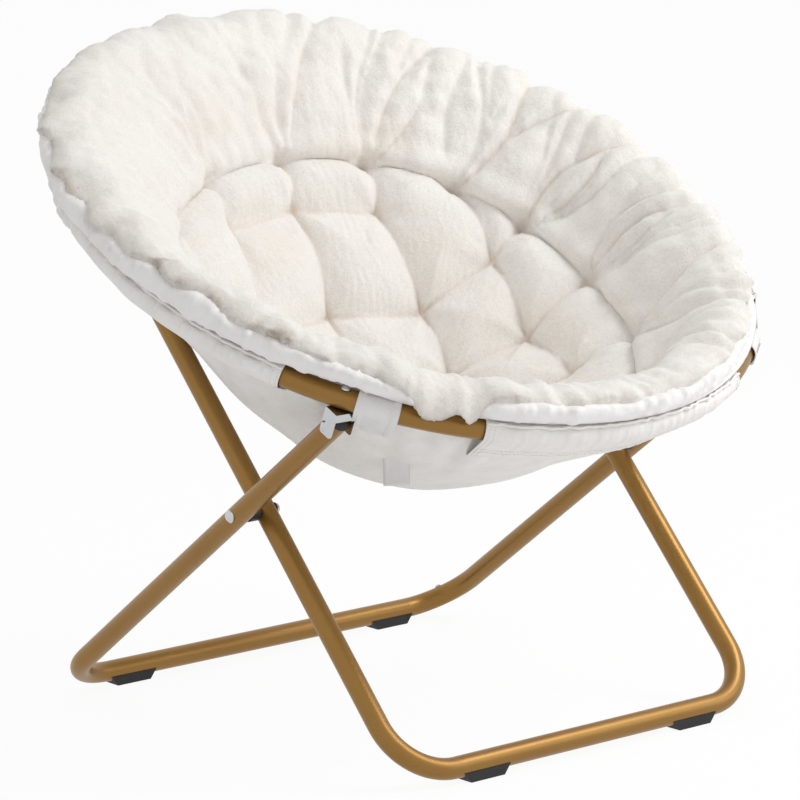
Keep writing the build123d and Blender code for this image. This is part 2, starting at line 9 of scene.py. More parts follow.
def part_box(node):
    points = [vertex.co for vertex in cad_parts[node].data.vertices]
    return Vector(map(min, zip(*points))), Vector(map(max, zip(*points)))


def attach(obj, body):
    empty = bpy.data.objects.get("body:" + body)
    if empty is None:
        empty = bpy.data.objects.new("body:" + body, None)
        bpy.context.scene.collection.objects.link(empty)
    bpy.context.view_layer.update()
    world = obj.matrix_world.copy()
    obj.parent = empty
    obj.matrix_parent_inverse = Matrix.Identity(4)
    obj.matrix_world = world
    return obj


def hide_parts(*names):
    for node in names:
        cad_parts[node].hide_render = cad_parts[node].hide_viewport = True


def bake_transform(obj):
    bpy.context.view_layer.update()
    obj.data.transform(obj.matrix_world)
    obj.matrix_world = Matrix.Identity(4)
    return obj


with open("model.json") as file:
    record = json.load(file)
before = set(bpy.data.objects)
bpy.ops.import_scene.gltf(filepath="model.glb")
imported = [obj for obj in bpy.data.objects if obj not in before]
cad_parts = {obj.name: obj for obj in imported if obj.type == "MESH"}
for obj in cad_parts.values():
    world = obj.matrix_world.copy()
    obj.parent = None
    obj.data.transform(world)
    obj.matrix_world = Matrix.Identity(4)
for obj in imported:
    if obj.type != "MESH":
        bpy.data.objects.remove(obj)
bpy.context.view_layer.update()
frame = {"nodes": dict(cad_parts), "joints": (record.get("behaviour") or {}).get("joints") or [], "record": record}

# Metres. +Z is up and the chair faces -Y.
# In the ring's frame, x runs across to the left hand side, rise runs to the rear in the ring's
# plane, and up is square to it. Angles round the ring start at the left hand side.
ring_tilt = math.radians(25.0)
ring_radius = 0.412
hinge_behind_centre = 0.166
# The cover's bowl: its rim, and the curve of its underside as in part.py
sling_rim = 0.381
bowl_depth = 0.248
bowl_reach = 0.455
bowl_power = 1.33
bowl_shift = 0.062
# The seam that joins the bowl to the sleeves, in the ring's section
seam_radius = 0.3827
seam_height = -0.029
# The cushion: the seat's outer seam and the top of its rim roll
channel_radius = 0.300
roll_top_radius = 0.410

across_axis = np.array((1.0, 0.0, 0.0))
rise_axis = np.array((0.0, math.cos(ring_tilt), math.sin(ring_tilt)))
up_axis = np.array((0.0, -math.sin(ring_tilt), math.cos(ring_tilt)))
ring_fold = next(joint for joint in frame["joints"] if joint["name"] == "ring_fold")
ring_hinge = np.array(ring_fold["pos_m"])
ring_hinge[0] = 0.0
ring_centre = ring_hinge - hinge_behind_centre * rise_axis
full_turn = 2 * math.pi


def in_chair(x, rise, up):
    """Points of the ring's frame, in the chair's frame."""
    x, rise, up = np.broadcast_arrays(x, rise, up)
    across = ring_centre + x[..., None] * across_axis
    return across + rise[..., None] * rise_axis + up[..., None] * up_axis


def step_between(low, high, value):
    """0 below low, 1 above high, smooth between."""
    share = np.clip((value - low) / (high - low), 0, 1)
    return share * share * (3 - 2 * share)


def wander(seed, shortest, longest, waves=22):
    """A smooth random height over a plane, about 1 either way, made of waves of these lengths."""
    draw = np.random.default_rng(seed)
    heading = draw.uniform(0, full_turn, waves)
    rate = full_turn / np.exp(draw.uniform(math.log(shortest), math.log(longest), waves))
    offset = draw.uniform(0, full_turn, waves)

    def height(x, y):
        total = 0
        for i in range(waves):
            along = x * math.cos(heading[i]) + y * math.sin(heading[i])
            total = total + np.sin(along * rate[i] + offset[i])
        return total / math.sqrt(waves / 2)

    return height


# ---- shader maths
class Amount:
    """A value that varies over a surface: a socket, with the arithmetic it takes part in."""

    def __init__(self, finish, socket):
        self.finish = finish
        self.socket = socket

    def with_other(self, operation, first, second):
        """A Math node on this value and another."""
        node = self.finish.add("Math", {"operation": operation}, {0: first, 1: second})
        return Amount(self.finish, node.outputs[0])

    def __add__(self, other):
        return self.with_other("ADD", self, other)

    def __sub__(self, other):
        return self.with_other("SUBTRACT", self, other)

    def __rsub__(self, other):
        return self.with_other("SUBTRACT", other, self)

    def __mul__(self, other):
        return self.with_other("MULTIPLY", self, other)

    __radd__ = __add__
    __rmul__ = __mul__


class Finish:
    """A material, made node by node."""

    def __init__(self, name):
        self.material = bpy.data.materials.new(name)
        self.material.use_nodes = True
        self.tree = self.material.node_tree
        self.tree.nodes.clear()

    def add(self, kind, settings, values):
        """A node: its settings are set first, then the values or links of its sockets."""
        node = self.tree.nodes.new("ShaderNode" + kind)
        for name, setting in settings.items():
            if name == "stops":
                ramp = node.color_ramp.elements
                while len(ramp) < len(setting):
                    ramp.new(0.5)
                for element, (place, shade) in zip(ramp, setting):
                    element.position = place
                    element.color = shade
            else:
                setattr(node, name, setting)
        for name, value in values.items():
            if isinstance(value, Amount):
                self.tree.links.new(value.socket, node.inputs[name])
            else:
                node.inputs[name].default_value = value
        return node

    def get(self, kind, settings, values, output=0):
        """One output of a new node, as an amount."""
        return Amount(self, self.add(kind, settings, values).outputs[output])

    def noise(self, scale, detail=3.0, roughness=0.5, stretch=None):
        """Cloudy noise, 0 to 1, of a scale per metre."""
        where = self.get("TexCoord", {}, {}, "Object")
        if stretch:
            where = self.get("Mapping", {}, {"Vector": where, "Scale": stretch})
        sockets = {"Vector": where, "Scale": scale, "Detail": detail, "Roughness": roughness}
        return self.get("TexNoise", {}, sockets)

    def held(self, name):
        """A number kept on the mesh's points."""
        return self.get("Attribute", {"attribute_name": name}, {}, "Fac")

    def mix(self, share, first, second):
        """A colour between two."""
        return self.get("Mix", {"data_type": "RGBA"}, {0: share, 6: first, 7: second}, 2)

    def band(self, value, low, high):
        """0 to 1 as a value goes from low to high."""
        return self.get("MapRange", {"clamp": True}, {0: value, 1: low, 2: high, 3: 0.0, 4: 1.0})

    def bump(self, height, distance, strength=1.0):
        """A normal for a surface of this height, 0 to 1, over a distance in metres."""
        return self.get("Bump", {}, {"Height": height, "Distance": distance, "Strength": strength})

    def close(self, **values):
        """End the material in one surface shader."""
        sockets = {name.replace("_", " "): value for name, value in values.items()}
        shader = self.add("BsdfPrincipled", {}, sockets)
        self.add("OutputMaterial", {}, {"Surface": Amount(self, shader.outputs[0])})
        return self.material


def shade(red, green, blue):
    """A colour from its screen values, 0 to 255."""
    return (*(((part / 255 + 0.055) / 1.055) ** 2.4 for part in (red, green, blue)), 1.0)


def gold_paint():
    """Satin antique gold paint with a fine metallic grain, slightly clouded."""
    finish = Finish("gold_paint")
    cloud = finish.noise(7.0, 4.0)
    grain = finish.noise(1500.0, 2.0, 0.6)
    flakes = finish.band(finish.noise(2600.0, 1.0), 0.45, 0.7)
    tone = finish.mix(cloud, shade(132, 94, 36), shade(152, 112, 48))
    return finish.close(
        Base_Color=finish.mix(flakes * 0.25, tone, shade(190, 154, 94)),
        Metallic=0.7,
        Roughness=0.34 + cloud * 0.1,
        Normal=finish.bump(grain, 0.0002, 0.3),
        Coat_Weight=0.2,
        Coat_Roughness=0.3,
    )


def zinc_steel():
    """Bright zinc plate with faint drawing marks."""
    finish = Finish("zinc_steel")
    marks = finish.noise(260.0, 3.0, 0.6, (1.0, 1.0, 0.1))
    cloud = finish.noise(16.0, 2.0)
    return finish.close(
        Base_Color=finish.mix(cloud, shade(176, 178, 182), shade(216, 216, 214)),
        Metallic=1.0,
        Roughness=0.10 + marks * 0.10,
        Normal=finish.bump(marks, 0.0002, 0.3),
    )


def moulded(name, dark, light, roughness):
    """Moulded rubber or plastic with a fine sparked grain."""
    finish = Finish(name)
    grain = finish.noise(1900.0, 3.0, 0.6)
    return finish.close(
        Base_Color=finish.mix(finish.noise(45.0), dark, light),
        Roughness=roughness + grain * 0.15,
        Normal=finish.bump(grain, 0.0003, 0.5),
    )


def fur():
    """Short cream faux fur: matt, with painted warm shade in its folds and painted dark shade along its edge on
    the roll, with clumped and brushed pile.
    """
    finish = Finish("cushion_fur")
    hollow = finish.held("hollow")
    drift = finish.noise(6.0, 3.0, 0.6)
    clump = finish.noise(75.0, 4.0, 0.65)
    pile = finish.noise(420.0, 5.0, 0.75, (1.0, 0.6, 0.9))
    tone = finish.mix(finish.band(drift, 0.5, 0.75), shade(248, 245, 240), shade(244, 238, 229))
    # Painted shade: the fur turns warmer and darker in the seat's sewn lines and tufts and in the rim's folds.
    tone = finish.mix(finish.band(hollow, 0.25, 1.0) * 0.75, tone, shade(226, 208, 190))
    tone = finish.mix(finish.band(pile, 0.58, 0.32) * 0.38, tone, shade(218, 208, 198))
    # Painted shade: darker brown along the fur's edge where it meets the backing, broken up by the pile.
    edge_shade_share = finish.held("root") * finish.band(clump + pile * 0.5, 0.4, 0.9)
    tone = finish.mix(edge_shade_share, tone, shade(160, 138, 116))
    return finish.close(
        Base_Color=tone,
        Roughness=0.95,
        Specular_IOR_Level=0.15,
        Sheen_Weight=0.35,
        Sheen_Roughness=0.55,
        Normal=finish.bump(clump * 0.7 + pile * 0.6, 0.0045, 0.6),
    )


def satin(name, light, dark, roughness):
    """Smooth off-white cover cloth with a tight weave and a soft gloss."""
    finish = Finish(name)
    weave = finish.noise(1700.0, 2.0, 0.5, (1.0, 0.35, 1.0))
    rub = finish.noise(26.0, 4.0, 0.6)
    creases = finish.noise(48.0, 3.0, 0.55)
    return finish.close(
        Base_Color=finish.mix(finish.band(rub, 0.42, 0.75) * 0.6, light, dark),
        Roughness=roughness + weave * 0.12,
        Sheen_Weight=0.12,
        Normal=finish.bump(creases + weave * 0.1, 0.006, 0.45),
    )


def thread():
    """Twisted polyester thread."""
    finish = Finish("seam_thread")
    twist = finish.noise(2200.0, 2.0, 0.5, (1.0, 1.0, 0.3))
    return finish.close(
        Base_Color=finish.mix(twist, shade(214, 208, 198), shade(240, 236, 230)),
        Roughness=0.7,
        Normal=finish.bump(twist, 0.0004, 0.6),
    )


# ---- finishes
slot_finish = {
    "gold_paint": gold_paint(),
    "zinc_steel": zinc_steel(),
    "black_rubber": moulded("black_rubber", shade(22, 22, 23), shade(40, 40, 41), 0.6),
    "black_plastic": moulded("black_plastic", shade(24, 24, 25), shade(44, 44, 45), 0.4),
}
fur_finish = fur()
cover_finish = satin("cover_fabric", shade(241, 239, 236), shade(228, 224, 219), 0.4)
backing_finish = satin("backing_fabric", shade(243, 241, 239), shade(231, 227, 223), 0.5)
strap_finish = satin("strap_fabric", shade(233, 232, 231), shade(218, 216, 214), 0.5)
thread_finish = thread()

for part in frame["record"]["subparts"]:
    part_finish = slot_finish.get(part["material_slot"])
    if part_finish:
        for held in frame["nodes"][part["node"]].material_slots:
            held.material = part_finish


# ---- mesh helpers
def piece_from(name, points, faces, finish, body=None):
    """A smooth mesh object from its points and faces, riding on a body."""
    mesh = bpy.data.meshes.new(name)
    mesh.from_pydata(np.asarray(points).reshape(-1, 3).tolist(), [], faces)
    mesh.shade_smooth()
    mesh.materials.append(finish)
    piece = bpy.data.objects.new(name, mesh)
    bpy.context.scene.collection.objects.link(piece)
    if body:
        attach(piece, body)
    return piece


def grid_faces(rows, columns, closed_rows=False, closed_columns=False, first=0):
    """Quads over a grid of points."""
    row = np.arange(rows if closed_rows else rows - 1)
    column = np.arange(columns if closed_columns else columns - 1)
    row, column = np.meshgrid(row, column, indexing="ij")
    next_row, next_column = (row + 1) % rows, (column + 1) % columns
    corners = (row * columns + column, next_row * columns + column)
    corners += (next_row * columns + next_column, row * columns + next_column)
    return (np.stack(corners, -1).reshape(-1, 4) + first).tolist()


def grid_normals(points, closed_rows=False, closed_columns=True):
    """Unit normals of a grid of points, rows first."""
    along = np.roll(points, -1, 1) - np.roll(points, 1, 1)
    if not closed_columns:
        along[:, 0] = points[:, 1] - points[:, 0]
        along[:, -1] = points[:, -1] - points[:, -2]
    out = np.roll(points, -1, 0) - np.roll(points, 1, 0)
    if not closed_rows:
        out[0] = points[1] - points[0]
        out[-1] = points[-1] - points[-2]
    normal = np.cross(out, along)
    return normal / np.maximum(np.linalg.norm(normal, axis=-1, keepdims=True), 1e-12)


def thicken(piece, thickness):
    """Give a cloth its thickness, half to each side."""
    thick = piece.modifiers.new("thickness", "SOLIDIFY")
    thick.thickness = thickness
    thick.offset = 0.0


def shell(name, points, thickness, finish, body=None, closed_rows=False, closed_columns=False):
    """A cloth of the given thickness, centred on a grid of points."""
    rows, columns = points.shape[:2]
    faces = grid_faces(rows, columns, closed_rows, closed_columns)
    piece = piece_from(name, points, faces, finish, body)
    thicken(piece, thickness)
    return piece


def lines_to_tubes(lines, radius, sides=6):
    """Points and faces of round cords along lines of points, with closed, narrowed ends."""
    points, faces = [], []
    turns = np.arange(sides) * full_turn / sides
    for line in lines:
        line = np.asarray(line)
        tangent = np.gradient(line, axis=0)
        tangent /= np.linalg.norm(tangent, axis=1, keepdims=True)
        side = np.cross(tangent, up_axis)
        side /= np.linalg.norm(side, axis=1, keepdims=True)
        other = np.cross(tangent, side)
        size = np.full(len(line), radius)
        size[[0, -1]] *= 0.45
        ring = np.cos(turns)[None, :, None] * side[:, None]
        ring = ring + np.sin(turns)[None, :, None] * other[:, None]
        first = len(points) * sides
        points.extend(line[:, None] + ring * size[:, None, None])
        faces += grid_faces(len(line), sides, closed_columns=True, first=first)
        faces.append([first + i for i in range(sides)][::-1])
        faces.append([first + (len(line) - 1) * sides + i for i in range(sides)])
    return np.array(points), faces


def cord_piece(name, lines, radius, finish, body=None, sides=6):
    """One object of round cords, one along each line of points."""
    points, faces = lines_to_tubes(lines, radius, sides)
    return piece_from(name, points, faces, finish, body)


def stitches_on(line, length=0.0032, gap=0.0016):
    """Short runs of points, one for each stitch, along a line of points."""
    line = np.asarray(line)
    steps = np.linalg.norm(np.diff(line, axis=0), axis=1)
    walked = np.concatenate([[0], np.cumsum(steps)])
    runs = []
    for start in np.arange(gap, walked[-1] - length, length + gap):
        at = start + np.linspace(0, length, 3)
        runs.append(np.stack([np.interp(at, walked, line[:, k]) for k in range(3)], -1))
    return runs


def bends_with_ring(piece):
    """Bakes the piece's placement into its mesh."""
    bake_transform(piece)


# ---- the bowl, in the ring's frame
def bowl_height(radius):
    """Height of the hanging bowl's underside at a radius from its own middle."""
    return -bowl_depth / 2 * (1 + np.cos(math.pi * (radius / bowl_reach) ** bowl_power))


def bowl_slope(radius):
    """How steeply the underside climbs at a radius."""
    share = (radius / bowl_reach) ** bowl_power
    climb = bowl_depth / 2 * np.sin(math.pi * share) * math.pi * bowl_power
    return climb * share / np.maximum(radius, 1e-6)


def bowl_lean(radius):
    """How far ahead of the ring's middle the bowl's circle of this radius is centred."""
    return bowl_shift * np.maximum(0, 1 - (radius / sling_rim) ** 2)


def over_bowl(radius, thickness):
    """Radius and height of the point a thickness square above the bowl's underside."""
    slope = bowl_slope(radius)
    length = np.hypot(1, slope)
    return radius - thickness * slope / length, bowl_height(radius) + thickness / length


def around_ring(radius, turn, height, lean=0.0):
    """Points at a radius, an angle from the left hand side and a height over the ring's plane."""
    return in_chair(radius * np.cos(turn), radius * np.sin(turn) - lean, height)


def near(turn, degrees, width):
    """1 at an angle round the ring, 0 to 360 degrees, and less the more widths away."""
    return np.exp(-(((np.degrees(turn) % 360 - degrees) / width) ** 2))


def on_right_side(degrees):
    """Angles round the ring mirrored to the right hand side, from 90 to 270 degrees."""
    degrees = np.where(degrees > 270, 540 - degrees, degrees)
    return np.where(degrees < 90, 180 - degrees, degrees)


# ---- cushion: quilted seat
# Inner tufts on the left hand side and the middle: across, and rising to the rear
tufts_measured = (
    (0.000, 0.207), (0.110, 0.180), (0.006, 0.097), (0.117, 0.064), (0.214, 0.071),
    (-0.004, -0.015), (0.108, -0.019), (0.199, -0.034), (0.003, -0.126), (0.106, -0.124),
    (0.192, -0.131), (0.000, -0.228), (0.104, -0.217),
)
# Those on the right hand side mirror them, this much off
mirror_slip = (-0.004, 0.003)

# Outer tufts, in the seat's outer seam: unevenly placed on a circle a little ahead of the ring's
tuft_ring_radius = 0.284
tuft_ring_lean = 0.010
tuft_ring_degrees = (
    -177.3, -151.6, -126.5, -102.0, -78.0, -53.5, -28.4, -2.7,
    20.5, 40.2, 64.2, 88.4, 117.0, 139.8, 159.5,
)
tuft_ring_turns = np.radians(tuft_ring_degrees)
seam_circle = 0.29
rear_seam_rise = 0.033

# How high a cell stands, how much deeper its sewn lines and tufts lie, and the puckers round them
cell_rise, line_sink, tuft_sink, pucker_rise = 0.027, 0.011, 0.007, 0.0016
cell_reach, tuft_reach, line_reach, pit_reach = 0.056, 0.020, 0.0045, 0.008
# Halfway along a sewn line the cloth is held less: by this much, and the line bows to the side
line_slack, outer_line_slack, line_bow = 0.003, 0.017, 0.007

inner_tufts = list(tufts_measured)
for x, rise in tufts_measured:
    if x > 0.05:
        inner_tufts.append((-x + mirror_slip[0], rise + mirror_slip[1]))
outer_tufts = [
    (tuft_ring_radius * math.cos(turn), tuft_ring_radius * math.sin(turn) - tuft_ring_lean)
    for turn in tuft_ring_turns
]


def rear_rise(turn):
    """How much higher the seat's outer seam lies toward the rear."""
    return rear_seam_rise * step_between(-0.15, 1.0, np.sin(turn))


def seams_between_tufts():
    """The sewn lines: neighbours in the inner rows and columns, and each outer tuft's nearest."""
    off_line, longest = 0.045, 0.128
    found = []
    for i, first in enumerate(inner_tufts):
        for second in inner_tufts[i + 1:]:
            step = (abs(first[0] - second[0]), abs(first[1] - second[1]))
            if min(step) < off_line and max(step) < longest:
                found.append((*first, *second))
    for outer in outer_tufts:
        nearest = min(inner_tufts, key=lambda inner: math.dist(inner, outer))
        found.append((*nearest, *outer))
    return found


def way_to_lines(x, rise):
    """Distance to the nearest sewn line between tufts, more where the line is held less."""
    nearest = np.full(x.shape, 1.0)
    for x0, rise0, x1, rise1 in seams_between_tufts():
        run = np.array((x1 - x0, rise1 - rise0))
        share = np.clip(((x - x0) * run[0] + (rise - rise0) * run[1]) / (run @ run), 0, 1)
        arch = np.sin(math.pi * share)
        bow = line_bow * arch * (abs(run[1]) > abs(run[0]))
        away = np.hypot(x - x0 - share * run[0] - bow, rise - rise0 - share * run[1])
        nearest = np.minimum(nearest, np.hypot(away, line_slack * arch))
    return nearest


def between_outer_tufts(ring_turn):
    """0 at each outer tuft and 1 halfway between two."""
    ends = np.concatenate([tuft_ring_turns, tuft_ring_turns[:1] + full_turn])
    turned = np.where(ring_turn < ends[0], ring_turn + full_turn, ring_turn)
    return np.abs(np.sin(math.pi * np.interp(turned, ends, np.arange(len(ends)))))


def quilting(x, rise, from_seam):
    """How far the quilted seat rises or sinks, and how deep in a fold each point lies, 0 to 1, which sets the
    painted shade in the folds.
    """
    ring_turn = np.arctan2(rise + tuft_ring_lean, x)
    outside = np.maximum(0, from_seam)
    line_way = np.hypot(way_to_lines(x, rise), outside)
    outer_slack = outer_line_slack * between_outer_tufts(ring_turn)
    line_way = np.minimum(line_way, np.hypot(from_seam, outer_slack))
    tuft_way = np.full(x.shape, 1.0)
    pucker = np.zeros(x.shape)
    for i, (x0, rise0) in enumerate(inner_tufts):
        away = np.hypot(np.hypot(x - x0, rise - rise0), outside)
        tuft_way = np.minimum(tuft_way, away)
        spokes = np.cos(6 * np.arctan2(rise - rise0, x - x0) + i)
        pucker += spokes * np.exp(-(((away - 0.030) / 0.016) ** 2))
    for turn in tuft_ring_turns:
        across = seam_circle * np.abs((ring_turn - turn + math.pi) % full_turn - math.pi)
        tuft_way = np.minimum(tuft_way, np.hypot(across, from_seam))
    hollow_share = 1 - np.clip(line_way / cell_reach, 0, 1)
    puff = (1 - hollow_share**2) ** 0.62
    rises = cell_rise * puff - line_sink + pucker_rise * pucker
    rises = rises - tuft_sink * np.exp(-((tuft_way / tuft_reach) ** 2))
    in_line = np.exp(-((line_way / line_reach) ** 2))
    in_pit = np.exp(-((tuft_way / pit_reach) ** 2))
    return rises, np.clip(0.75 * in_line + 0.5 * in_pit, 0, 1)


# ---- cushion: gathered rim
# The circle on which the rim's outer side is told apart
outer_circle = 0.43
# Folds that fan from each outer tuft, in degrees to either side of it, and their creases
fold_spread = np.linspace(-13.0, 7.0, 6)
crease_width, crease_floor = 0.0085, 0.0016
fold_depth, fold_stand = 0.0140, 0.0050


def fan_folds(turn, way_out):
    """Depth, 0 to 1, of the rim's folds at an angle and a share of the way out to the crest."""
    draw = np.random.default_rng(41)
    depth = np.zeros(turn.shape)
    out = np.clip(way_out, 0, 2)
    for tuft_turn in tuft_ring_turns:
        side = 1 if math.cos(tuft_turn) > -0.1 else -1
        for spread in fold_spread:
            spread = side * (spread + draw.uniform(-1.6, 1.6))
            strength = draw.uniform(0.45, 1.0)
            start = draw.uniform(-0.22, 0.10)
            end = draw.uniform(0.8, 1.8)
            sweep, bend = side * draw.uniform(-4.5, 0.5), draw.uniform(-3.0, 3.0)
            swing = spread * out**0.55 + sweep * out**2 / 2 + bend * np.sin(4.2 * out)
            away = np.abs((turn - tuft_turn - np.radians(swing) + math.pi) % full_turn - math.pi)
            away = away * (seam_circle + 0.11 * out)
            crease = np.exp((crease_floor - np.hypot(away, crease_floor)) / crease_width)
            length = step_between(start, start + 0.15, way_out)
            length = length * (1 - 0.85 * step_between(end - 0.5, end, way_out))
            depth = np.maximum(depth, strength * length * crease)
    return depth


def fold_share(turn):
    """How strong the rim's folds are: deep on the left hand side, soft on the right."""
    return 0.62 + 0.38 * np.cos(turn - math.radians(5))


def roll_section(turn):
    """Radius and height of the rim roll's crest, and its reach outward: most at the right rear."""
    lean_back = np.cos(turn - math.radians(140))
    front = near(turn, 272, 30)
    crest_radius = 0.404 + 0.014 * lean_back + 0.004 * front
    crest_height = 0.055 + 0.014 * np.cos(turn - math.radians(130))
    reach = 0.026 + 0.010 * lean_back + 0.007 * front
    return crest_radius, crest_height, reach


# Where the roll sits higher, over the hinges and the bracket bolts: angle and width in degrees
seat_bumps = ((23.8, 8), (156.2, 8), (49.6, 4), (130.4, 4), (222.25, 5), (317.75, 5))
seat_height, bump_height = 0.0156, 0.0048


def roll_seat(turn):
    """Height of the rim roll's seat on the ring's sleeves."""
    seat = seat_height + 0 * turn
    for degrees, width in seat_bumps:
        away = (np.degrees(turn) - degrees + 180) % 360 - 180
        seat = np.maximum(seat, seat_height + bump_height * np.exp(-((away / width) ** 2)))
    return seat


def front_clump(turn):
    """Where the fur droops over the bare ring at the front in two clumps, 0 to 1."""
    return near(turn, 236.0, 4.2) + 0.8 * near(turn, 241.3, 1.5)


def fur_edge(turn):
    """Angle over the roll, from its crest, at which the fur stops and the backing starts."""
    x, rise = outer_circle * np.cos(turn), outer_circle * np.sin(turn)
    base = math.radians(68) + math.radians(26) * np.cos(turn - math.radians(70))
    ragged = 0.020 * wander(5, 0.005, 0.012)(x, rise)
    scallops = 0.13 * wander(6, 0.045, 0.12)(x, rise)
    droop = 0.85 * np.minimum(1, front_clump(turn))
    return base + scallops + ragged + 0.45 * near(turn, 229, 11) + droop


def foot_radius(turn):
    """Where the roll's outer side meets the sleeve below: farther out along the front."""
    return 0.4158 + 0.0050 * near(turn, 282, 36)


def roll_point(over, turn):
    """Radius and height on the bare rim roll, at an angle over it from its crest.

    Below its widest height the side runs partly straight, to a foot on the sleeve.
    """
    crest_radius, crest_height, reach = roll_section(turn)
    seat = roll_seat(turn)
    outer = crest_radius + reach
    widest = (crest_height + seat) / 2
    below = np.clip(over - math.pi / 2, 0, math.pi / 2)
    straight = 0.7 * np.sin(below)
    inward = straight * below / (math.pi / 2) + (1 - straight) * (1 - np.cos(below))
    down = straight * below / (math.pi / 2) + (1 - straight) * np.sin(below)
    above = over < math.pi / 2
    lower_radius = outer - (outer - foot_radius(turn)) * inward
    radius = np.where(above, crest_radius + reach * np.sin(over), lower_radius)
    upper_height = widest + (crest_height - widest) * np.cos(over)
    return radius, np.where(above, upper_height, widest - (widest - seat) * down)


def under_points(clearance):
    """Radii, heights and leans of the cushion's underside, from its seat on the ring inward."""
    inside_ring = 0.3880 - clearance
    radii = np.concatenate([np.linspace(sling_rim, 0.30, 8), np.linspace(0.28, 0.03, 12)])
    across, height = over_bowl(radii, 0.0032 + clearance)
    inner = [(inside_ring, 0.018 + clearance, 0.0), (inside_ring, 0.006, 0.0)]
    return inner + list(zip(across, height, bowl_lean(radii)))


# ---- cushion: mesh
around = 720
turns = np.arange(around) * full_turn / around
edge_thickness, crown_thickness = 0.017, 0.021


def as_grids(rows):
    """A grid of each column's values, with a value at every turn in every row."""
    return [np.array([value + 0 * turns for value in column]) for column in zip(*rows)]


def cushion_profile():
    """Grids of the smooth bag's radius, height, lean and angle over the roll, from the middle out.

    With the seat's thickness in each of its rows, and the rows where seat, wall and fur end.
    """
    rows, thick = [], []
    for radius in np.linspace(0.004, channel_radius, 76):
        share = min(1.0, radius / channel_radius)
        thickness = edge_thickness + crown_thickness * math.sqrt(max(0.0, 1 - share**4))
        across, height = over_bowl(radius, thickness)
        raised = rear_rise(turns) * step_between(0.09, 0.285, radius)
        rows.append((across, height + raised, bowl_lean(radius), 0))
        thick.append(thickness + raised)
    seat_rows = len(rows)
    crest_radius, crest_height, _ = roll_section(turns)
    floor_across, floor_height = over_bowl(channel_radius, edge_thickness)
    floor = floor_height + rear_rise(turns)
    for rising in np.linspace(0, math.pi / 2, 37)[1:]:
        share = (1 - math.cos(rising)) ** 0.7
        across = floor_across + (crest_radius - floor_across) * share
        height = floor + (crest_height - floor) * math.sin(rising)
        lean = bowl_lean(channel_radius + (roll_top_radius - channel_radius) * share)
        rows.append((across, height, lean, 0))
    crest_row = len(rows) - 1
    for over in np.linspace(0, math.pi, 25)[1:]:
        across, height = roll_point(over, turns)
        rows.append((across, height, 0, over))
    fur_rows = len(rows)
    for radius, height, lean in under_points(0.002):
        rows.append((radius, height, lean, math.pi))
    return as_grids(rows), np.array(thick), (seat_rows, crest_row, fur_rows)


def closed_bag_faces(rows):
    """Faces of the bag: its grid, and a fan to one more point at either end."""
    faces = grid_faces(rows, around, closed_columns=True)
    middle, under = rows * around, rows * around + 1
    last = (rows - 1) * around
    for j in range(around):
        k = (j + 1) % around
        faces.append((middle, j, k))
        faces.append((last + j, under, last + k))
    return faces


def make_cushion():
    """One closed bag: quilted fur face, gathered rim roll, and its underside in the bowl."""
    (radius, height, lean, over), seat_thick, row_ends = cushion_profile()
    seat_rows, crest_row, fur_rows = row_ends
    turn = np.broadcast_to(turns, radius.shape)
    base = around_ring(radius, turn, height, lean)
    x, rise = radius * np.cos(turn), radius * np.sin(turn) - lean
    thick = np.broadcast_to(seat_thick[-1], radius.shape).copy()
    thick[:seat_rows] = seat_thick
    steps = np.linalg.norm(np.diff(base, axis=0), axis=-1)
    from_seam = np.vstack([0 * turns, np.cumsum(steps, axis=0)])
    from_seam = from_seam - from_seam[seat_rows - 1]
    way_out = from_seam / from_seam[crest_row]

    on_face = (np.arange(len(radius)) < fur_rows)[:, None]
    seat = step_between(0.045, 0.004, from_seam) * on_face
    rim = step_between(-0.002, 0.016, from_seam)
    rises, hollow = quilting(x, rise, from_seam)
    folds = fan_folds(np.arctan2(rise + tuft_ring_lean, x), way_out)
    share = fold_share(turn)
    past_edge = over - fur_edge(turn)
    fur_share = step_between(0.07, -0.07, past_edge) * on_face
    lumps = wander(11, 0.07, 0.16)(x, rise)
    tuck = wander(12, 0.022, 0.05)(x + 0.2, rise)
    fuzz = wander(13, 0.0065, 0.013, 30)(x, rise + height)
    least_left = 0.009
    move = seat * np.maximum(rises, least_left - thick)
    move += rim * share * (fold_stand - fold_depth * folds) * (0.25 + 0.75 * fur_share)
    move += fur_share * (rim * (0.0024 * lumps + 0.0010 * tuck) + (1 - rim) * 0.0016 * lumps)
    move += fur_share * (0.00035 * fuzz + 0.0032 * rim * step_between(0.75, 1.05, way_out))
    move -= (1 - fur_share) * 0.0024
    move[fur_rows:] = 0
    move[fur_rows - 3:fur_rows] *= np.array((0.7, 0.4, 0.1))[:, None]
    droop = 0.016 * front_clump(turn) * step_between(0.7, 1.3, way_out) * fur_share
    points = base + grid_normals(base) * move[..., None] - droop[..., None] * up_axis

    ends = (points[0].mean(axis=0), points[-1].mean(axis=0))
    mesh_points = np.vstack([points.reshape(-1, 3), *ends])
    cushion = piece_from("cushion", mesh_points, closed_bag_faces(len(points)), fur_finish)
    # Painted shade in the folds: strongest in the seat's sewn lines and tufts and deep in the rim's folds.
    fold_shade_mask = np.clip(np.maximum(seat * hollow, 0.8 * rim * folds**3 * share), 0, 1)
    # Painted shade along the fur's edge on the roll, in patches, stronger and wider on the right hand side a
    # little to the front.
    patches = 0.55 + 0.45 * np.clip(wander(14, 0.03, 0.08)(x, rise + height), -1, 1)
    near_left = near(turn, 198, 34)
    on_roll = over > 0
    edge_shade_mask = step_between(-0.75, -0.02, past_edge) * on_roll * patches * (0.35 + 0.65 * near_left)
    shaded = 0.34 * near_left * step_between(-1.7, -0.2, past_edge) * on_roll
    for name, values in (("hollow", fold_shade_mask), ("root", np.maximum(edge_shade_mask, shaded))):
        held = cushion.data.attributes.new(name, "FLOAT", "POINT")
        held.data.foreach_set("value", np.append(values.ravel(), (0, 0)).astype(np.float32))
    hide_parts("cushion_front", "cushion_rear")
    bends_with_ring(cushion)


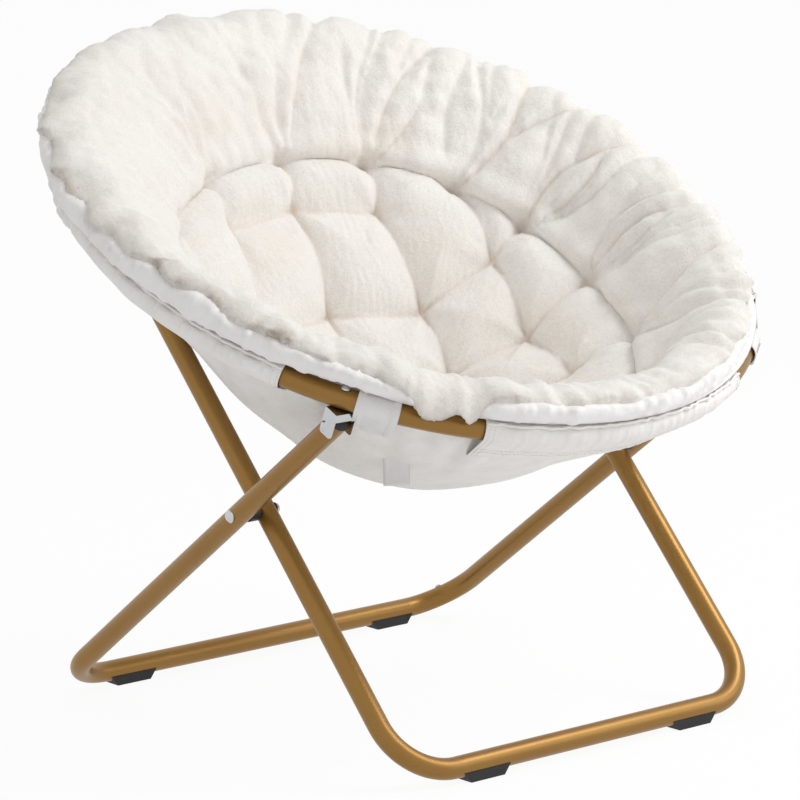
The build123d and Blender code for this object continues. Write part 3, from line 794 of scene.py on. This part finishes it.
def make_backing():
    """The smooth cloth of the cushion's outer side, from the fur edge under the roll and inward."""
    under_fur = 0.14
    edge = fur_edge(turns)
    rows = []
    for share in np.linspace(0, 1, 16):
        over = edge - under_fur + (math.pi - edge + under_fur) * share
        across, height = roll_point(over, turns)
        rows.append((across, height, 0, share))
    for radius, height, lean in under_points(0.001)[:9]:
        rows.append((radius, height, lean, 1.3))
    radius, height, lean, share = as_grids(rows)
    turn = np.broadcast_to(turns, radius.shape)
    base = around_ring(radius, turn, height, lean)
    x, rise = outer_circle * np.cos(turn), outer_circle * np.sin(turn)
    pleats = wander(21, 0.009, 0.028, 34)(x, rise)
    slack = wander(22, 0.05, 0.12)(x + 0.05 * share, rise + 0.05 * share)
    belly = np.sin(math.pi * np.clip(1.3 * share, 0, 1))
    near_edges = np.exp(-(((share - 0.16) / 0.14) ** 2))
    near_edges = near_edges + 0.55 * np.exp(-(((share - 0.62) / 0.12) ** 2))
    move = 0.0020 * np.clip(0.8 + pleats, 0, 2.4) * near_edges
    move = move + 0.0016 * np.clip(1.2 + slack, 0, 2.4) * belly
    move = move * step_between(0.95, 0.60, share) * step_between(0.0, 0.16, share)
    move = move - 0.0022 * step_between(0.14, 0.02, share)
    clumps = np.minimum(1, front_clump(turn))
    move -= 0.0004 + 0.006 * clumps * step_between(1.0, 0.8, share)
    points = base + grid_normals(base) * move[..., None]
    backing = shell("cushion_backing", points, 0.0008, backing_finish, closed_columns=True)
    bends_with_ring(backing)


make_cushion()
make_backing()


# ---- cover: sleeves and straps
# Angles round the ring, in degrees from the left hand side, between which each sleeve lies
front_sleeve_ends = (244.1, 299.0)
rear_sleeve_ends = (71.4, 108.6)
right_sleeve_ends = (140.1, 212.5)
left_sleeve_ends = (540 - right_sleeve_ends[1], 540 - right_sleeve_ends[0])
hinge_part_ends = (151.6, 160.8)
# The straps' middles on the right hand side, and half a strap's width
front_strap_middle = 227.7
rear_strap_middle = 121.8
strap_half_width = 3.3

# A sleeve's skin: its radius round the tube, and how much wider it is over the hinge's plates
sleeve_radius, strap_radius, hinge_room = 0.0137, 0.0136, 0.0040
# How far out and down the seam of the front pocket lies from the rest of the cover's rim
pocket_out, pocket_down = 0.0075, 0.0165
# The piping lies on a sleeve's outer side, at this angle over the tube and this far off the skin
piping_way = math.radians(52)
piping_off_skin, piping_radius = 0.0032, 0.0018
stitch_radius, stitch_lift = 0.00042, 0.0006
# A section's points over the tube, the row where the tail is stitched, and the rows with end seams
rounds_over_tube = 34
tail_row = rounds_over_tube + 6
sleeve_seam_rows, strap_seam_rows = slice(6, 46), slice(4, 46)


def front_drop(turn):
    """How far the front of the bowl's rim hangs with the front pocket, 0 to 1."""
    degrees = np.degrees(turn) % 360
    return step_between(243, 248, degrees) * step_between(300, 293, degrees)


def pocket_drop(turn):
    """How far a sleeve's tail hangs, 0 to 1: the front pocket is the deepest."""
    degrees = math.degrees(turn) % 360
    return float(step_between(226, 243, degrees) * step_between(326, 300, degrees))


def pocket_section(skin, tail_radius, tail_height, runs=9):
    """Points round a sleeve's drop-shaped section, from its inner top over the tube to its tail."""
    reach = math.hypot(ring_radius - tail_radius, -tail_height)
    toward_tail = math.atan2(tail_height, tail_radius - ring_radius) % full_turn
    tail_size = 0.002
    lap = math.acos((skin - tail_size) / reach)
    over_tube = np.linspace(toward_tail - lap, toward_tail + lap - full_turn, rounds_over_tube)
    over_tail = np.linspace(toward_tail + lap, toward_tail - lap, 5)
    tube_arc = np.stack([np.cos(over_tube), np.sin(over_tube)], -1) * skin + (ring_radius, 0)
    tail_arc = np.stack([np.cos(over_tail), np.sin(over_tail)], -1) * tail_size
    tail_arc = tail_arc + (tail_radius, tail_height)
    share = np.linspace(0, 1, runs + 2)[1:-1, None]
    down = tube_arc[-1] + (tail_arc[0] - tube_arc[-1]) * share
    back = tail_arc[-1] + (tube_arc[0] - tail_arc[-1]) * share
    return np.vstack([tube_arc, down, tail_arc, back])


def sleeve_points(start, end, skin_at, columns, drop_at):
    """Grid of a sleeve's skin: rows round its section, columns along the ring at their angles."""
    turn = np.radians(np.linspace(start, end, columns))
    sections = []
    for angle in turn:
        drop = drop_at(angle)
        tail_radius, tail_height = seam_radius + pocket_out * drop, seam_height - pocket_down * drop
        sections.append(pocket_section(skin_at(math.degrees(angle)), tail_radius, tail_height))
    sections = np.array(sections)
    points = around_ring(sections[..., 0], turn[:, None], sections[..., 1])
    return points.transpose(1, 0, 2), turn, sections


def skin_normals(points):
    """Unit normals out of a sleeve's skin."""
    normal = grid_normals(points, closed_rows=True, closed_columns=False)
    faces_out = np.sum(normal * (points - points.mean(axis=0))) > 0
    return normal if faces_out else -normal


def sleeve_skin_at(degrees):
    """The sleeve's radius: wider over the folding plates of the hinge."""
    low, high = hinge_part_ends
    degrees = on_right_side(degrees)
    over_hinge = step_between(low - 2.5, low, degrees) * step_between(high + 2.5, high, degrees)
    return sleeve_radius + hinge_room * float(over_hinge)


def stitching(name, lines, body):
    """One object of all the stitches along some lines of points."""
    runs = [run for line in lines for run in stitches_on(line)]
    return cord_piece(name + "_stitches", runs, stitch_radius, thread_finish, body, 5)


def sleeve_moves(turn, sections, bends):
    """How far a sleeve's skin stands off its smooth section: hems, wrinkles and slack."""
    outward = (sections - np.array((ring_radius, 0.0))).transpose(1, 0, 2)
    over = np.arctan2(outward[..., 1], outward[..., 0])
    x, rise = ring_radius * np.cos(turn), ring_radius * np.sin(turn)
    pleats = wander(31, 0.009, 0.026, 34)(x, rise)
    slack = wander(32, 0.05, 0.12)(x, rise)
    below = step_between(piping_way - 0.1, piping_way - 0.4, over) * step_between(-2.6, -1.4, over)
    facing = step_between(-0.50, 0.25, over)
    edge_way = np.minimum(turn - turn[0], turn[-1] - turn) * ring_radius
    calm = step_between(0.004, 0.02, edge_way)
    hem = 0.0009 * step_between(0.0125, 0.0115, edge_way)
    wrinkle = 0.0026 * facing if bends else 0.0005
    loose = wrinkle * np.clip(1 + pleats, 0, 3) + 0.0008 * np.clip(1 + slack, 0, 2)
    return 0.0006 + hem + below * calm * loose


def piping_line(turn):
    """Points along the piping on a sleeve's outer side, wandering a little."""
    skins = np.array([sleeve_skin_at(math.degrees(angle)) for angle in turn]) + piping_off_skin
    x, rise = ring_radius * np.cos(turn), ring_radius * np.sin(turn)
    shift = 0.0008 * wander(33, 0.01, 0.03)(x, rise)
    radius = ring_radius + skins * math.cos(piping_way) + shift
    return around_ring(radius, turn, skins * math.sin(piping_way))


def make_sleeve(name, start, end, nodes, girth, body=None):
    """One fabric sleeve with hemmed ends, a piped seam along its outer side and stitches.

    A sleeve on no one body crosses the ring's hinge.
    """
    columns = int((end - start) * 5) + 1
    points, turn, sections = sleeve_points(start, end, sleeve_skin_at, columns, pocket_drop)
    normal = skin_normals(points)
    points = points + normal * sleeve_moves(turn, sections, body is None)[..., None]
    sleeve = shell(name, points, 0.0008, cover_finish, body, closed_rows=True)
    if nodes:
        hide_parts(*nodes)

    line = [piping_line(turn)]
    piping_piece = cord_piece(name + "_piping", line, piping_radius, backing_finish, body)
    lifted = points + normal * stitch_lift
    lines = []
    for back in (0.0035, 0.0095):
        way = back / ring_radius
        for seam_turn in (turn[0] + way, turn[-1] - way):
            lines.append(lifted[sleeve_seam_rows, np.searchsorted(turn, seam_turn)])
    lines += [lifted[tail_row], lifted[tail_row - 2]]
    stitch_piece = stitching(name, lines, body)
    arcs = {"ring_front": ["ring_front_arc"], "ring_rear": ["ring_rear_arc"]}
    arcs.get(body, ["ring_front_arc", "ring_rear_arc"])
    if body is None:
        for piece in (sleeve, piping_piece, stitch_piece):
            bends_with_ring(piece)


def make_straps(name, middle, nodes, drop, body):
    """A pair of hemmed straps that loop over the bare ring beside its brackets."""
    grids, lines = [], []
    other_middle = (540 if middle > 180 else 180) - middle
    for place in (middle, other_middle):
        low, high = place - strap_half_width, place + strap_half_width
        points, turn, _ = sleeve_points(low, high, lambda _: strap_radius, 33, lambda _: drop)
        normal = skin_normals(points)
        edge_way = np.minimum(turn - turn[0], turn[-1] - turn) * ring_radius
        hem = 0.0014 * step_between(0.0085, 0.0070, edge_way)
        points = points + normal * (0.0006 + hem)[None, :, None]
        grids.append(points)
        lifted = points + normal * stitch_lift
        lines += [lifted[strap_seam_rows, 3], lifted[strap_seam_rows, 29], lifted[tail_row]]
    rows, columns = grids[0].shape[:2]
    faces = []
    for i in range(len(grids)):
        faces += grid_faces(rows, columns, closed_rows=True, first=i * rows * columns)
    points = np.concatenate([grid.reshape(-1, 3) for grid in grids])
    strap = piece_from(name, points, faces, strap_finish, body)
    thicken(strap, 0.0012)
    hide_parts(*nodes)
    stitch_piece = stitching(name, lines, body)


# ---- cover: bowl and loop
# Where the bowl's rim is cut back between the sleeves and straps, in degrees on the right hand
# side, and by how much
free_edges = (
    (108.6, 118.5, 0.009),
    (125.1, 140.1, 0.012),
    (212.5, 224.4, 0.004),
    (231.0, 244.1, 0.002),
)


def free_edge(turn):
    """How far the bowl's rim is cut back between the sleeves and straps, where the ring is bare."""
    degrees = on_right_side(np.degrees(turn) % 360)
    cut = np.zeros(degrees.shape)
    for low, high, depth in free_edges:
        share = np.clip((degrees - low) / (high - low), 0, 1)
        cut = np.maximum(cut, depth * np.sin(math.pi * share) ** 0.7)
    return cut


def make_bowl():
    """The hanging bowl of the cover: one smooth sheet, slack near its sleeves and free edges."""
    columns = 480
    turn = np.arange(columns) * full_turn / columns
    shares = np.concatenate([np.linspace(0.01, 0.9, 60), np.linspace(0.9, 1.0, 14)[1:]])
    rows = []
    for share in shares:
        radius = share * (sling_rim + 0.002 - free_edge(turn))
        across, height = over_bowl(radius, 0.001)
        drop = front_drop(turn) * step_between(0.24, sling_rim, radius)
        place = (across + pocket_out * drop, height - pocket_down * drop)
        rows.append((*place, bowl_lean(radius), radius))
    across, height, lean, radius = (np.array(column) for column in zip(*rows))
    base = around_ring(across, turn, height, lean)
    x, rise = across * np.cos(turn), across * np.sin(turn) - lean
    pleats = wander(51, 0.03, 0.08)(ring_radius * np.cos(turn), ring_radius * np.sin(turn))
    slack = wander(52, 0.09, 0.22)(x, rise)
    sag = 0.010 * near(turn, 215, 38) * step_between(0.10, 0.24, radius)
    sag = sag * step_between(sling_rim, 0.33, radius)
    near_edge = step_between(0.25, 0.37, radius) * step_between(sling_rim, 0.37, radius)
    move = sag + 0.0012 * (1.2 + slack) + 0.0014 * (1 + pleats) * near_edge
    points = base - grid_normals(base) * move[..., None]

    rows = len(shares)
    faces = [face[::-1] for face in grid_faces(rows, columns, closed_columns=True)]
    centre = rows * columns
    faces += [((j + 1) % columns, j, centre) for j in range(columns)]
    mesh_points = np.vstack([points.reshape(-1, 3), points[0].mean(axis=0)])
    bowl = piece_from("cover_bowl", mesh_points, faces, cover_finish)
    thicken(bowl, 0.001)
    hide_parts("sling_front", "sling_rear")
    bends_with_ring(bowl)


def make_loop():
    """A folded ribbon sewn flat under the front of the bowl."""
    heading = math.radians(232)
    half_width, half_gap, bow = 0.015, 0.0019, 0.0035
    low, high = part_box("lift_loop")
    middle = (np.array(low) + np.array(high)) / 2
    side = np.array((-math.sin(heading), math.cos(heading), 0.0))
    down = np.array((0.0, 0.0, -1.0))
    out = np.cross(side, down)
    top = middle + np.array((0.0, 0.0, high.z - middle[2]))
    length = high.z - low.z
    turn = np.linspace(-math.pi / 2, math.pi / 2, 9)
    straight = np.linspace(0, length - half_gap, 12)[:-1]
    path = [(way, -half_gap) for way in straight]
    for angle in turn:
        path.append((length - half_gap + half_gap * math.cos(angle), half_gap * math.sin(angle)))
    path += [(way, half_gap) for way in straight[::-1]]
    widths = np.linspace(-half_width, half_width, 9)
    rows = []
    for way, off in path:
        line = top + down * way + out * (off + bow * math.sin(math.pi * way / length))
        rows.append([line + side * width for width in widths])
    loop = shell("cover_lift_loop", np.array(rows), 0.0009, strap_finish, "ring_front")
    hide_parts("lift_loop")


make_bowl()
make_sleeve("front_cover_sleeve", *front_sleeve_ends, ("front_sleeve",), 0.163, "ring_front")
make_sleeve("rear_cover_sleeve", *rear_sleeve_ends, ("rear_sleeve",), 0.143, "ring_rear")
side_nodes = ("side_sleeves_front", "hinge_sleeves", "side_sleeves_rear")
make_sleeve("right_cover_sleeve", *right_sleeve_ends, side_nodes, 0.153)
make_sleeve("left_cover_sleeve", *left_sleeve_ends, (), 0.153)
make_straps(
    "front_cover_straps", front_strap_middle, ("front_straps",), 0.8, "ring_front"
)
make_straps("rear_cover_straps", rear_strap_middle, ("rear_straps",), 0.0, "ring_rear")
make_loop()


# ---- camera, light, floor
# The camera's place, its heading, downward tilt and roll in degrees, and its lens in millimetres
camera_place = (-2.8992, -3.5356, 1.2360)
camera_angles = (-39.036, 10.728, -1.035)
camera_lens = 176.7


def make_camera():
    """The camera at the photograph's viewing angle."""
    data = bpy.data.cameras.new("camera")
    data.lens = camera_lens
    data.sensor_width = 36.0
    data.clip_end = 60.0
    camera = bpy.data.objects.new("camera", data)
    bpy.context.scene.collection.objects.link(camera)
    bpy.context.scene.camera = camera
    heading, downward, roll = (math.radians(angle) for angle in camera_angles)
    level = Vector((math.cos(heading), math.sin(heading), 0.0))
    ahead = Vector((-math.sin(heading), math.cos(heading), -math.tan(downward))).normalized()
    above = level.cross(ahead)
    right = level * math.cos(roll) + above * math.sin(roll)
    upright = above * math.cos(roll) - level * math.sin(roll)
    turned = Matrix((right, upright, -ahead)).transposed().to_4x4()
    camera.matrix_world = Matrix.Translation(camera_place) @ turned


def lit_white(tree, light_node, plain_node, share=1.0):
    """Mixes in a share of plain white where the camera, a mirror or glass looks straight at it."""
    path = tree.nodes.new("ShaderNodeLightPath")
    factor = path.outputs["Is Camera Ray"]
    for ray in ("Is Glossy Ray", "Is Transmission Ray"):
        either = tree.nodes.new("ShaderNodeMath")
        either.operation = "MAXIMUM"
        tree.links.new(factor, either.inputs[0])
        tree.links.new(path.outputs[ray], either.inputs[1])
        factor = either.outputs[0]
    part = tree.nodes.new("ShaderNodeMath")
    part.operation = "MULTIPLY"
    part.inputs[1].default_value = share
    tree.links.new(factor, part.inputs[0])
    mix = tree.nodes.new("ShaderNodeMixShader")
    tree.links.new(part.outputs[0], mix.inputs[0])
    tree.links.new(light_node.outputs[0], mix.inputs[1])
    tree.links.new(plain_node.outputs[0], mix.inputs[2])
    return mix


def make_world(strength):
    """Even white studio light, with a plain white backdrop behind the chair."""
    world = bpy.data.worlds.new("studio")
    bpy.context.scene.world = world
    world.use_nodes = True
    tree = world.node_tree
    tree.nodes.clear()
    soft, plain = (tree.nodes.new("ShaderNodeBackground") for _ in range(2))
    soft.inputs["Strength"].default_value = strength
    plain.inputs["Strength"].default_value = 1.0
    for background in (soft, plain):
        background.inputs["Color"].default_value = (1.0, 1.0, 1.0, 1.0)
    end = tree.nodes.new("ShaderNodeOutputWorld")
    tree.links.new(lit_white(tree, soft, plain).outputs[0], end.inputs[0])


def lamp(name, place, size, power):
    """A soft square studio lamp, turned to the seat: metres and watts."""
    seat_middle = Vector((0.0, 0.0, 0.5))
    data = bpy.data.lights.new(name, "AREA")
    data.size = size
    data.energy = power
    light = bpy.data.objects.new(name, data)
    bpy.context.scene.collection.objects.link(light)
    light.location = place
    light.rotation_mode = "QUATERNION"
    light.rotation_quaternion = (seat_middle - Vector(place)).to_track_quat("-Z", "Y")


def make_floor():
    """A wide white floor that keeps a faint shadow of the chair."""
    reach = 30.0
    corners = [(x * reach, y * reach, 0.0) for x, y in ((-1, -1), (1, -1), (1, 1), (-1, 1))]
    finish = Finish("floor_white")
    finish.close(Base_Color=(0.9, 0.9, 0.9, 1.0), Roughness=0.9)
    tree = finish.tree
    lit = next(node for node in tree.nodes if node.type == "BSDF_PRINCIPLED")
    end = next(node for node in tree.nodes if node.type == "OUTPUT_MATERIAL")
    plain = tree.nodes.new("ShaderNodeEmission")
    plain.inputs["Strength"].default_value = 1.0
    shown = lit_white(tree, lit, plain, 0.93)
    tree.links.new(shown.outputs[0], end.inputs["Surface"])
    piece_from("floor", corners, [(0, 1, 2, 3)], finish.material)


bpy.context.scene.view_settings.view_transform = "Standard"
make_camera()
make_world(0.68)
lamp("key", (1.7, -1.5, 2.9), 1.3, 46.0)
lamp("fill", (2.6, -2.4, 1.6), 2.0, 18.0)
make_floor()
